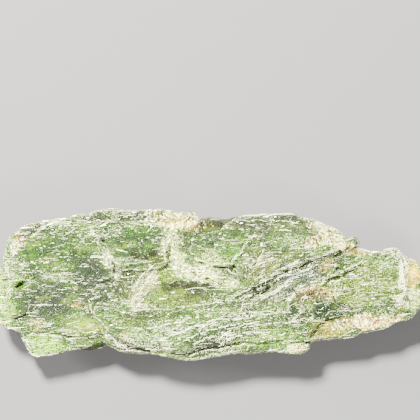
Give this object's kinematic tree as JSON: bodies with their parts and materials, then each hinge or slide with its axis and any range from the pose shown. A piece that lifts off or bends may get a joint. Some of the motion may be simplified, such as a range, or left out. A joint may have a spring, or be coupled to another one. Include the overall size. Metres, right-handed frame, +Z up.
{
  "type": "kyanite crystal",
  "caption": "Rough bladed mineral specimen: a flat, elongated green stone of thin cleavage plates with a crumpled, ridged broad face.",
  "frame": {"origin": "centre of the stone's box in plan, at the surface it lies on", "axes": "+X along the blade, +Y across it, +Z up out of the pictured broad face"},
  "size_m": [0.0462, 0.0164, 0.0058],
  "materials": {
    "kyanite": "vitreous"
  },
  "bodies": {
    "root": {"kyanite_crystal": "kyanite"}
  },
  "joints": []
}
